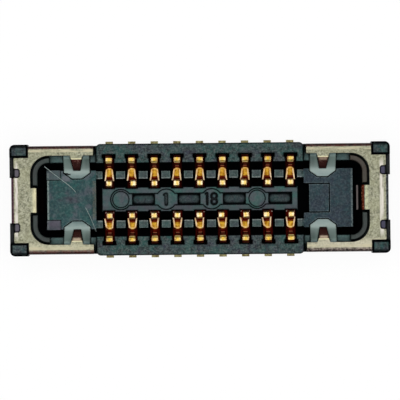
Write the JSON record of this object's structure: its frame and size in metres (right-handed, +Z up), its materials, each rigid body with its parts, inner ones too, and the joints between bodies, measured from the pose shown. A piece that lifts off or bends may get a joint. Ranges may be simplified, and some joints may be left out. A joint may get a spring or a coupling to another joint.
{
  "type": "board to board connector receptacle",
  "caption": "Fine-pitch surface-mount receptacle with two contact rows round a centre island, a ring-shaped mating groove and folded metal end frames.",
  "frame": {"origin": "on the solder plane under the middle of the part", "axes": "+X along the contact rows, +Y across them, +Z up towards the mating side"},
  "size_m": [0.0058, 0.0018, 0.0006],
  "materials": {
    "moulding": "dark slate liquid-crystal plastic, satin with fine flow mottling",
    "contact_plating": "gold plating, polished on the folds",
    "leaf_plating": "smooth satin nickel",
    "fitting_plating": "grainy champagne nickel with bright folds"
  },
  "bodies": {
    "root": {"housing": "moulding", "contact_top_1": "contact_plating", "contact_top_2": "contact_plating", "contact_top_3": "contact_plating", "contact_top_4": "contact_plating", "contact_top_5": "contact_plating", "contact_top_6": "contact_plating", "contact_top_7": "contact_plating", "contact_top_8": "contact_plating", "contact_top_9": "contact_plating", "contact_bottom_1": "contact_plating", "contact_bottom_2": "contact_plating", "contact_bottom_3": "contact_plating", "contact_bottom_4": "contact_plating", "contact_bottom_5": "contact_plating", "contact_bottom_6": "contact_plating", "contact_bottom_7": "contact_plating", "contact_bottom_8": "contact_plating", "contact_bottom_9": "contact_plating", "power_leaf_left_top": "leaf_plating", "power_leaf_left_bottom": "leaf_plating", "power_leaf_right_top": "leaf_plating", "power_leaf_right_bottom": "leaf_plating", "end_fitting_left": "fitting_plating", "end_fitting_right": "fitting_plating"}
  },
  "joints": []
}
